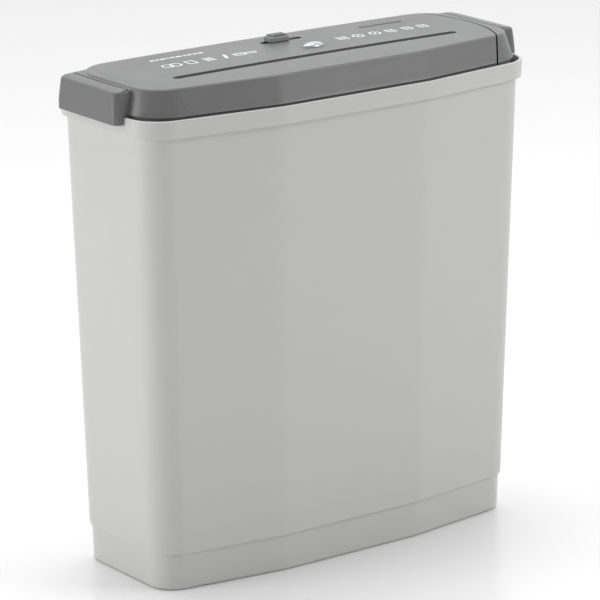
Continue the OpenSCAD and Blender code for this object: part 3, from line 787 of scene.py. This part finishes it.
pale_ink = plastic("pale_ink", (0.86, 0.87, 0.88), (0.45, 0.6), 0.12, 0.1, 0.0, 2600)
signs = joined("printed_signs", parts, pale_ink)
finish_piece(signs, "head", "head_plastic")

dark_ink = plastic("dark_ink", (0.045, 0.045, 0.048), (0.35, 0.5), 0.12, 0.1, 0.0, 2600)
name_bar = joined("plain_bar", [bar_sign(88 * MM, 24 * MM, 36, 3.4)], dark_ink)
finish_piece(name_bar, "head", "head_plastic")

# ---------------------------------------------------------------------------------------
# Mode knob: a small ribbed slider in the head's own grey, dished for a thumb. Its stem drops
# through the opening to the switch below and keeps it in line.
def run_tree(tree, name, settings, base=None):
    """Runs a Geometry Nodes tree on a new object and keeps the result as a plain mesh."""
    data = base or bpy.data.meshes.new(name)
    piece = bpy.data.objects.new(name, data)
    bpy.context.scene.collection.objects.link(piece)
    run = piece.modifiers.new("grow", "NODES")
    run.node_group = tree
    for item in tree.interface.items_tree:
        if item.in_out == "INPUT" and item.name in settings:
            run[item.identifier] = settings[item.name]
    return as_plain_mesh(piece)


def move_mesh(piece, offset):
    piece.data.transform(Matrix.Translation(offset))


def build_bar_row():
    """A row of equal bars along X, centred on the origin."""
    tree = bpy.data.node_groups.new("bar_row", "GeometryNodeTree")
    add_sockets(
        tree, ("Bars", "Int", "INPUT", 5), ("Pitch", "Float", "INPUT", 0.003),
        ("Bar size", "Vector", "INPUT", (0.001, 0.01, 0.001)), ("Material", "Material", "INPUT"),
        ("Geometry", "Geometry", "OUTPUT"))
    given = add_node(tree, "NodeGroupInput")
    put = add_node(tree, "NodeGroupOutput")
    step = add_node(tree, "ShaderNodeCombineXYZ")
    count = add_node(tree, "ShaderNodeMath", {1: 1}, operation="SUBTRACT")
    half = add_node(tree, "ShaderNodeMath", operation="MULTIPLY")
    start_x = add_node(tree, "ShaderNodeMath", {1: -0.5}, operation="MULTIPLY")
    start = add_node(tree, "ShaderNodeCombineXYZ")
    row = add_node(tree, "GeometryNodeMeshLine")
    bar = add_node(tree, "GeometryNodeMeshCube")
    set_bars = add_node(tree, "GeometryNodeInstanceOnPoints")
    real = add_node(tree, "GeometryNodeRealizeInstances")
    paint = add_node(tree, "GeometryNodeSetMaterial")
    wire(
        tree, (given, "Pitch", step, "X"), (given, "Bars", count, 0), (count, "Value", half, 0),
        (given, "Pitch", half, 1), (half, "Value", start_x, 0), (start_x, "Value", start, "X"),
        (given, "Bars", row, "Count"), (start, "Vector", row, "Start Location"),
        (step, "Vector", row, "Offset"), (given, "Bar size", bar, "Size"),
        (row, "Mesh", set_bars, "Points"), (bar, "Mesh", set_bars, "Instance"),
        (set_bars, "Instances", real, "Geometry"), (real, "Geometry", paint, "Geometry"),
        (given, "Material", paint, "Material"), (paint, "Geometry", put, "Geometry"))
    return tree


bar_row = build_bar_row()
knob_plastic = plastic("knob_plastic", (0.25, 0.252, 0.255), (0.32, 0.42), 0.06, 0.3, 0.0, 2600)
knob_w = knob_high.x - knob_low.x
knob_d = knob_high.y - knob_low.y
knob_foot = head_top + 0.2 * MM
stem_d = 3.8 * MM


def box_ring(cx, cy, half_w, half_d, radius, z, steps=5):
    """A level ring with rounded corners."""
    ring = []
    for sx, sy, start in ((1, -1, -90), (1, 1, 0), (-1, 1, 90), (-1, -1, 180)):
        for step in range(steps + 1):
            angle = math.radians(start + 90 * step / steps)
            ring.append((
                cx + sx * (half_w - radius) + radius * math.cos(angle),
                cy + sy * (half_d - radius) + radius * math.sin(angle), z))
    return ring


knob_rings = []
for inset, up in ((0.5, 0), (0, 0.5), (0.1, 2.6), (0.5, 3.3), (1.2, 3.6), (2.4, 3.2), (3.8, 3.0)):
    knob_rings.append(box_ring(
        knob_x, knob_y, knob_w / 2 - inset * MM, knob_d / 2 - inset * MM,
        max(0.3, 1.4 - inset * 0.3) * MM, knob_foot + up * MM))
stem_rings = [
    box_ring(knob_x, knob_y, stem_w / 2, stem_d / 2, 0.5 * MM, z)
    for z in (knob_low.z, knob_foot + 0.6 * MM)]
knob_body = joined("knob_body", [loft(knob_rings), loft(stem_rings)], knob_plastic)
smooth(knob_body, 40)
knob_body = as_plain_mesh(knob_body)
finish_piece(knob_body, "knob", "knob_plastic", "mode_knob")

knob_ribs = run_tree(bar_row, "knob_ribs", {
    "Bars": 5, "Pitch": 2.5 * MM, "Bar size": (1.1 * MM, knob_d - 1.6 * MM, 2.2 * MM),
    "Material": knob_plastic})
move_mesh(knob_ribs, (knob_x, knob_y, knob_high.z - 1.15 * MM))
soften(knob_ribs, 0.3 * MM)
smooth(knob_ribs)
finish_piece(as_plain_mesh(knob_ribs), "knob", "knob_plastic")

# ---------------------------------------------------------------------------------------
# Indicator lens: an oval dome of clear acrylic over a lamp, seated in a shallow rim. The
# lamp's white reflector shows through it as a silvery glow.
lens_low, lens_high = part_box("indicator_lens")
lens_x, lens_y = (lens_low.x + lens_high.x) / 2, (lens_low.y + lens_high.y) / 2
lens_half_w = (lens_high.x - lens_low.x) / 2
lens_half_d = (lens_high.y - lens_low.y) / 2
lens_rise = lens_high.z - head_top


def lens_ring(share, z, steps=40):
    return [
        (lens_x + share * lens_half_w * math.cos(math.tau * k / steps),
         lens_y + share * lens_half_d * math.sin(math.tau * k / steps), z)
        for k in range(steps)]


lens_rings = [lens_ring(0.94, head_top - 1.0 * MM), lens_ring(0.94, head_top - 0.1 * MM)]
for step in range(1, 13):
    angle = math.radians(7.4 * step)
    lift = (lens_rise + 0.05 * MM) * math.sin(angle)
    lens_rings.append(lens_ring(0.94 * math.cos(angle) ** 0.8, head_top - 0.1 * MM + lift))
lens_clear, lens_tree, lens_shader = new_material("lens_plastic")
lens_shader.inputs["Metallic"].default_value = 0.35
lens_shader.inputs["Coat Weight"].default_value = 1.0
lens_shader.inputs["Coat Roughness"].default_value = 0.03
lens_tone = add_node(
    lens_tree, "ShaderNodeGroup",
    {"Colour": (0.60, 0.61, 0.63, 1), "Uneven": 0.1, "Rough low": 0.12, "Rough high": 0.2},
    node_tree=handled_tone)
wire(
    lens_tree, (lens_tone, "Colour", lens_shader, "Base Color"),
    (lens_tone, "Roughness", lens_shader, "Roughness"))
lens_dome = mesh_object("lens_dome", *loft(lens_rings), lens_clear)
smooth(lens_dome, 60)
finish_piece(as_plain_mesh(lens_dome), "head", "lens_plastic", "indicator_lens")

rim_rings = []
for share, up in ((0.95, -0.5), (0.95, 0.25), (0.98, 0.4), (1.0, 0.25), (1.0, -0.5), (0.95, -0.5)):
    rim_rings.append(lens_ring(share, head_top + up * MM))
lens_rim = mesh_object("lens_rim", *loft(rim_rings, False, False), knob_plastic)
smooth(lens_rim, 50)
finish_piece(as_plain_mesh(lens_rim), "head", "knob_plastic")

# ---------------------------------------------------------------------------------------
# Lower housing: the charcoal tray under the head that carries the works. It hangs inside the
# bin from a flange on the ledge, and its floor is open below the cutters for the strips.
dark_plastic = plastic("dark_plastic", (0.045, 0.045, 0.048), (0.45, 0.58), 0.15, 0.35, 0.03, 2400)
tray_low, tray_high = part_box("lower_housing")
tray_wall = 1.8 * MM
tray_inset = bin_wall + 1.2 * MM
tray_floor = 2 * MM
flange_out = head_gap + bin_wall - collar_out

tray_profile = rounded_profile([
    (tray_inset + 14 * MM, tray_low.z, 0),
    (tray_inset, tray_low.z, 3 * MM),
    (tray_inset, ledge_z, 0.6 * MM),
    (flange_out, ledge_z, 0.5 * MM),
    (flange_out, tray_high.z, 0.6 * MM),
    (tray_inset + tray_wall, tray_high.z, 0.5 * MM),
    (tray_inset + tray_wall, tray_low.z + tray_floor, 2 * MM),
    (tray_inset + 16 * MM, tray_low.z + tray_floor, 0),
])
lower_tray = mesh_object("lower_tray", *loft([bin_ring(u, z) for u, z in tray_profile]))
nip_y = (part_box("front_cutter_discs")[0].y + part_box("rear_cutter_discs")[1].y) / 2
outlet_half_d = 26 * MM
outlet = prism("outlet", [
    (-slot_half_w, nip_y - outlet_half_d), (slot_half_w, nip_y - outlet_half_d),
    (slot_half_w, nip_y + outlet_half_d), (-slot_half_w, nip_y + outlet_half_d),
], tray_low.z - MM, tray_low.z + tray_floor + MM)
carve(lower_tray, outlet, "DIFFERENCE")
throw_away(outlet)
soften(lower_tray, 0.3 * MM)
in_material(lower_tray, dark_plastic)
smooth(lower_tray)
finish_piece(as_plain_mesh(lower_tray), "head", "dark_plastic", "lower_housing")

# stiffening ribs under the tray's floor, behind the outlet
tray_ribs = run_tree(bar_row, "tray_ribs", {
    "Bars": 12, "Pitch": 18 * MM, "Bar size": (1.4 * MM, 34 * MM, 1.6 * MM),
    "Material": dark_plastic})
move_mesh(tray_ribs, (0, nip_y + 46 * MM, tray_low.z + tray_floor + 0.7 * MM))
soften(tray_ribs, 0.25 * MM)
smooth(tray_ribs)
finish_piece(as_plain_mesh(tray_ribs), "head", "dark_plastic")


def give(material, *nodes):
    """A carried-over CAD node gets its finish."""
    for node in nodes:
        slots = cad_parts[node].data.materials
        slots.clear()
        slots.append(material)


give(dark_plastic, "paper_guide", "mode_switch", "sensor_switch", "front_comb", "rear_comb",
     "motor_end_bell")
soft_black = plastic("soft_black", (0.022, 0.022, 0.023), (0.62, 0.75), 0.2, 0.5, 0.1, 1500)
give(soft_black, "cord_gland")
nylon = plastic("nylon", (0.62, 0.60, 0.53), (0.38, 0.5), 0.07, 0.2, 0.02, 1600)
give(nylon, "sensor_lever", "motor_fan", "first_gear", "second_gear")

# ---------------------------------------------------------------------------------------
# Cutters and frame: two hexagon shafts of hooked discs run in bronze bushes between pressed
# steel plates. Turned and rolled steel show fine lines along their length, and a little oil.
def build_metal_group():
    group = bpy.data.node_groups.new("worked_metal", "ShaderNodeTree")
    add_sockets(
        group, ("Bright", "Color", "INPUT", (0.6, 0.6, 0.6, 1)),
        ("Dull", "Color", "INPUT", (0.4, 0.4, 0.4, 1)), ("Rough low", "Float", "INPUT", 0.25),
        ("Rough high", "Float", "INPUT", 0.45),
        ("Line scale", "Vector", "INPUT", (40, 1600, 1600)),
        ("Line depth", "Float", "INPUT", 0.15), ("Colour", "Color", "OUTPUT"),
        ("Roughness", "Float", "OUTPUT"), ("Normal", "Vector", "OUTPUT"))
    given = add_node(group, "NodeGroupInput")
    put = add_node(group, "NodeGroupOutput")
    place = add_node(group, "ShaderNodeTexCoord")
    stretch = add_node(group, "ShaderNodeMapping")
    lines = add_node(group, "ShaderNodeTexNoise", {"Scale": 1, "Detail": 3})
    stain = add_node(group, "ShaderNodeTexNoise", {"Scale": 70, "Detail": 5})
    blend = add_node(group, "ShaderNodeMix", data_type="RGBA")
    rough = add_node(group, "ShaderNodeMapRange", {"From Min": 0.3, "From Max": 0.7})
    ridge = add_node(group, "ShaderNodeBump", {"Distance": 0.00003})
    wire(
        group, (place, "Object", stretch, "Vector"), (given, "Line scale", stretch, "Scale"),
        (stretch, "Vector", lines, "Vector"), (place, "Object", stain, "Vector"),
        (stain, "Fac", blend, "Factor"), (given, "Bright", blend, "A"),
        (given, "Dull", blend, "B"), (lines, "Fac", rough, "Value"),
        (given, "Rough low", rough, "To Min"), (given, "Rough high", rough, "To Max"),
        (lines, "Fac", ridge, "Height"), (given, "Line depth", ridge, "Strength"),
        (blend, "Result", put, "Colour"), (rough, "Result", put, "Roughness"),
        (ridge, "Normal", put, "Normal"))
    return group


worked_metal = build_metal_group()


def metal(name, bright, dull, rough, line_scale=(40, 1600, 1600), depth=0.15, metallic=1.0):
    material, tree, shader = new_material(name)
    shader.inputs["Metallic"].default_value = metallic
    skin = add_node(
        tree, "ShaderNodeGroup",
        {"Bright": (*bright, 1), "Dull": (*dull, 1), "Rough low": rough[0],
         "Rough high": rough[1], "Line scale": line_scale, "Line depth": depth},
        node_tree=worked_metal)
    wire(
        tree, (skin, "Colour", shader, "Base Color"), (skin, "Roughness", shader, "Roughness"),
        (skin, "Normal", shader, "Normal"))
    return material


plate_steel = metal(
    "plate_steel", (0.60, 0.60, 0.59), (0.50, 0.51, 0.52), (0.28, 0.42), (900, 30, 900), 0.12)
give(plate_steel, "left_side_plate", "right_side_plate", "gearbox_cover", "motor_can")
zinc_steel = metal("steel", (0.66, 0.66, 0.65), (0.55, 0.56, 0.57), (0.2, 0.34), depth=0.1)
give(zinc_steel, "tie_rods", "sensor_pin", "motor_shaft", "first_axle", "second_axle",
     "gearbox_pillars", "frame_feet", "motor_screws", "gearbox_screws", "board_screws")
tool_steel = metal(
    "tool_steel", (0.40, 0.40, 0.41), (0.16, 0.155, 0.15), (0.22, 0.4), (1400, 90, 90), 0.25)
give(tool_steel, "front_cutter_shaft", "front_cutter_discs", "front_sync_gear",
     "rear_cutter_shaft", "rear_cutter_discs", "rear_sync_gear", "cutter_drive_gear",
     "motor_armature")
bronze = metal(
    "bronze", (0.62, 0.42, 0.19), (0.40, 0.26, 0.12), (0.35, 0.5), (1100, 1100, 1100), 0.3)
give(bronze, "cutter_bushes", "motor_pinion")
ferrite = metal(
    "ferrite", (0.09, 0.09, 0.09), (0.05, 0.05, 0.052), (0.5, 0.65), (700, 700, 700), 0.3, 0.2)
give(ferrite, "motor_magnets")

# ---------------------------------------------------------------------------------------
# Rotor windings: seven coils of enamelled copper wire, each wound through two slots of the
# stack, so that they cross in a ring at both ends.
armature_low, armature_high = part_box("motor_armature")
rotor_y = (armature_low.y + armature_high.y) / 2
rotor_z = (armature_low.z + armature_high.z) / 2


def build_coil_ring():
    tree = bpy.data.node_groups.new("coil_ring", "GeometryNodeTree")
    add_sockets(
        tree, ("Coils", "Int", "INPUT", 7), ("Coil length", "Float", "INPUT", 0.05),
        ("Coil width", "Float", "INPUT", 0.02), ("Off centre", "Float", "INPUT", 0.008),
        ("Bundle radius", "Float", "INPUT", 0.001), ("Material", "Material", "INPUT"),
        ("Geometry", "Geometry", "OUTPUT"))
    given = add_node(tree, "NodeGroupInput")
    put = add_node(tree, "NodeGroupOutput")
    loop = add_node(tree, "GeometryNodeCurvePrimitiveQuadrilateral")
    turn_corner = add_node(tree, "GeometryNodeFilletCurve", {"Radius": 0.0025})
    lift = add_node(tree, "ShaderNodeCombineXYZ")
    raised = add_node(tree, "GeometryNodeTransform")
    section = add_node(tree, "GeometryNodeCurvePrimitiveCircle", {"Resolution": 10})
    bundle = add_node(tree, "GeometryNodeCurveToMesh")
    spots = add_node(tree, "GeometryNodePoints")
    order = add_node(tree, "GeometryNodeInputIndex")
    share = add_node(tree, "ShaderNodeMath", operation="DIVIDE")
    angle = add_node(tree, "ShaderNodeMath", {1: math.tau}, operation="MULTIPLY")
    turned = add_node(tree, "ShaderNodeCombineXYZ")
    ring = add_node(tree, "GeometryNodeInstanceOnPoints")
    real = add_node(tree, "GeometryNodeRealizeInstances")
    paint = add_node(tree, "GeometryNodeSetMaterial")
    wire(
        tree, (given, "Coil length", loop, "Width"), (given, "Coil width", loop, "Height"),
        (loop, "Curve", turn_corner, "Curve"), (given, "Off centre", lift, "Z"),
        (turn_corner, "Curve", raised, "Geometry"), (lift, "Vector", raised, "Translation"),
        (raised, "Geometry", bundle, "Curve"), (given, "Bundle radius", section, "Radius"),
        (section, "Curve", bundle, "Profile Curve"), (given, "Coils", spots, "Count"),
        (order, "Index", share, 0), (given, "Coils", share, 1), (share, "Value", angle, 0),
        (angle, "Value", turned, "X"), (spots, "Points", ring, "Points"),
        (bundle, "Mesh", ring, "Instance"), (turned, "Vector", ring, "Rotation"),
        (ring, "Instances", real, "Geometry"), (real, "Geometry", paint, "Geometry"),
        (given, "Material", paint, "Material"), (paint, "Geometry", put, "Geometry"))
    return tree


copper_wire = metal(
    "copper_wire", (0.70, 0.30, 0.13), (0.50, 0.18, 0.07), (0.2, 0.35), (120, 1900, 1900), 0.4)
slot_turn = math.tau / 7
coil_r = 11.6 * MM
windings = run_tree(build_coil_ring(), "rotor_windings", {
    "Coils": 7,
    "Coil length": armature_high.x - armature_low.x + 5 * MM,
    "Coil width": 2 * coil_r * math.sin(slot_turn),
    "Off centre": coil_r * math.cos(slot_turn),
    "Bundle radius": 0.95 * MM,
    "Material": copper_wire})
move_mesh(windings, ((armature_low.x + armature_high.x) / 2, rotor_y, rotor_z))
smooth(windings, 50)
finish_piece(as_plain_mesh(windings), "motor_rotor", "bronze")

# ---------------------------------------------------------------------------------------
# Control board: green resist over glass epoxy, with tracks that show through it, and a relay,
# two capacitors, a heat sink and a terminal block on the side towards the cutters.
board_green, board_tree, board_shader = new_material("board")
board_shader.inputs["Coat Weight"].default_value = 0.4
board_place = add_node(board_tree, "ShaderNodeTexCoord")
board_turn = add_node(board_tree, "ShaderNodeMapping", {"Rotation": (math.radians(90), 0, 0)})
tracks = add_node(
    board_tree, "ShaderNodeTexBrick",
    {"Scale": 210, "Mortar Size": 0.04, "Color1": (0.020, 0.115, 0.050, 1),
     "Color2": (0.024, 0.135, 0.060, 1), "Mortar": (0.060, 0.260, 0.110, 1)})
board_haze = add_node(board_tree, "ShaderNodeTexNoise", {"Scale": 60})
board_rough = add_node(board_tree, "ShaderNodeMapRange", {"To Min": 0.25, "To Max": 0.45})
wire(
    board_tree, (board_place, "Object", board_turn, "Vector"),
    (board_turn, "Vector", tracks, "Vector"), (tracks, "Color", board_shader, "Base Color"),
    (board_place, "Object", board_haze, "Vector"), (board_haze, "Fac", board_rough, "Value"),
    (board_rough, "Result", board_shader, "Roughness"))
give(board_green, "control_board")
component_case = plastic("component_case", (0.06, 0.065, 0.08), (0.3, 0.45), 0.3, 0.15, 0.0, 1800)
give(component_case, "board_components")

# ---------------------------------------------------------------------------------------
# Upright screws: zinc-plated pan heads with a cross recess. Those for the caps and the cover
# come up through the tray's flange, and those for the frame's feet come up through its floor.
def build_screw_set():
    """A screw at each point of the given mesh, driven along the direction stored there."""
    tree = bpy.data.node_groups.new("screw_set", "GeometryNodeTree")
    add_sockets(
        tree, ("Geometry", "Geometry", "INPUT"), ("Head radius", "Float", "INPUT", 0.0028),
        ("Head height", "Float", "INPUT", 0.002), ("Shank radius", "Float", "INPUT", 0.0015),
        ("Shank length", "Float", "INPUT", 0.01), ("Material", "Material", "INPUT"),
        ("Geometry", "Geometry", "OUTPUT"))
    given = add_node(tree, "NodeGroupInput")
    put = add_node(tree, "NodeGroupOutput")

    def scaled(source, factor):
        node = add_node(tree, "ShaderNodeMath", {1: factor}, operation="MULTIPLY")
        tree.links.new(source, node.inputs[0])
        return node.outputs["Value"]

    def along_z(source):
        node = add_node(tree, "ShaderNodeCombineXYZ")
        tree.links.new(source, node.inputs["Z"])
        return node.outputs["Vector"]

    def moved(geometry, offset):
        node = add_node(tree, "GeometryNodeTransform")
        tree.links.new(geometry, node.inputs["Geometry"])
        tree.links.new(offset, node.inputs["Translation"])
        return node.outputs["Geometry"]

    head = add_node(tree, "GeometryNodeMeshCone", {"Vertices": 28})
    tree.links.new(scaled(given.outputs["Head radius"], 0.8), head.inputs["Radius Bottom"])
    wire(tree, (given, "Head radius", head, "Radius Top"), (given, "Head height", head, "Depth"))
    head_place = moved(head.outputs["Mesh"], along_z(scaled(given.outputs["Head height"], -1)))
    cross = add_node(tree, "GeometryNodeMeshBoolean", operation="DIFFERENCE")
    tree.links.new(head_place, cross.inputs["Mesh 1"])
    for across, along in ((1.15, 0.24), (0.24, 1.15)):
        blade = add_node(tree, "GeometryNodeMeshCube")
        size = add_node(tree, "ShaderNodeCombineXYZ")
        tree.links.new(scaled(given.outputs["Head radius"], across), size.inputs["X"])
        tree.links.new(scaled(given.outputs["Head radius"], along), size.inputs["Y"])
        tree.links.new(scaled(given.outputs["Head height"], 1.2), size.inputs["Z"])
        wire(tree, (size, "Vector", blade, "Size"))
        tree.links.new(moved(
            blade.outputs["Mesh"], along_z(scaled(given.outputs["Head height"], -1))),
            cross.inputs["Mesh 2"])
    shank = add_node(tree, "GeometryNodeMeshCylinder", {"Vertices": 20})
    wire(tree, (given, "Shank radius", shank, "Radius"), (given, "Shank length", shank, "Depth"))
    shank_place = moved(
        shank.outputs["Mesh"], along_z(scaled(given.outputs["Shank length"], 0.5)))
    screw = add_node(tree, "GeometryNodeJoinGeometry")
    wire(tree, (cross, "Mesh", screw, "Geometry"))
    tree.links.new(shank_place, screw.inputs["Geometry"])
    way = add_node(
        tree, "GeometryNodeInputNamedAttribute",
        {"Name": "way"}, data_type="FLOAT_VECTOR")
    turn = add_node(tree, "FunctionNodeAlignRotationToVector", axis="Z")
    wire(tree, (way, "Attribute", turn, "Vector"))
    driven = add_node(tree, "GeometryNodeInstanceOnPoints")
    real = add_node(tree, "GeometryNodeRealizeInstances")
    paint = add_node(tree, "GeometryNodeSetMaterial")
    wire(
        tree, (given, "Geometry", driven, "Points"), (screw, "Geometry", driven, "Instance"),
        (turn, "Rotation", driven, "Rotation"), (driven, "Instances", real, "Geometry"),
        (real, "Geometry", paint, "Geometry"), (given, "Material", paint, "Material"),
        (paint, "Geometry", put, "Geometry"))
    return tree


screw_set = build_screw_set()
shank_r = 1.45 * MM


def drive_screws(name, places, way, head_radius, head_height, shank_length, *nodes):
    base = bpy.data.meshes.new(name)
    base.from_pydata(places, [], [])
    stored = base.attributes.new("way", "FLOAT_VECTOR", "POINT")
    stored.data.foreach_set("vector", list(way) * len(places))
    screws = run_tree(screw_set, name, {
        "Head radius": head_radius, "Head height": head_height, "Shank radius": shank_r,
        "Shank length": shank_length, "Material": zinc_steel}, base)
    smooth(screws, 35)
    finish_piece(as_plain_mesh(screws), "head", "steel", *nodes)


def four_corners(node, radius, z):
    """Centres of four upright screws from the box round them."""
    low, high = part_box(node)
    return [
        (x, y, z)
        for x in (low.x + radius, high.x - radius)
        for y in (low.y + radius, high.y - radius)]


pan_r = 2.8 * MM
pan_h = 2 * MM
upward = (0, 0, 1)
for name, node, shank in (
        ("cap_screw_set", "cap_screws", 11 * MM), ("cover_screw_set", "cover_screws", 11 * MM),
        ("foot_screw_set", "frame_screws", 8 * MM)):
    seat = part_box(node)[0].z + pan_h
    drive_screws(name, four_corners(node, pan_r, seat), upward, pan_r, pan_h, shank, node)
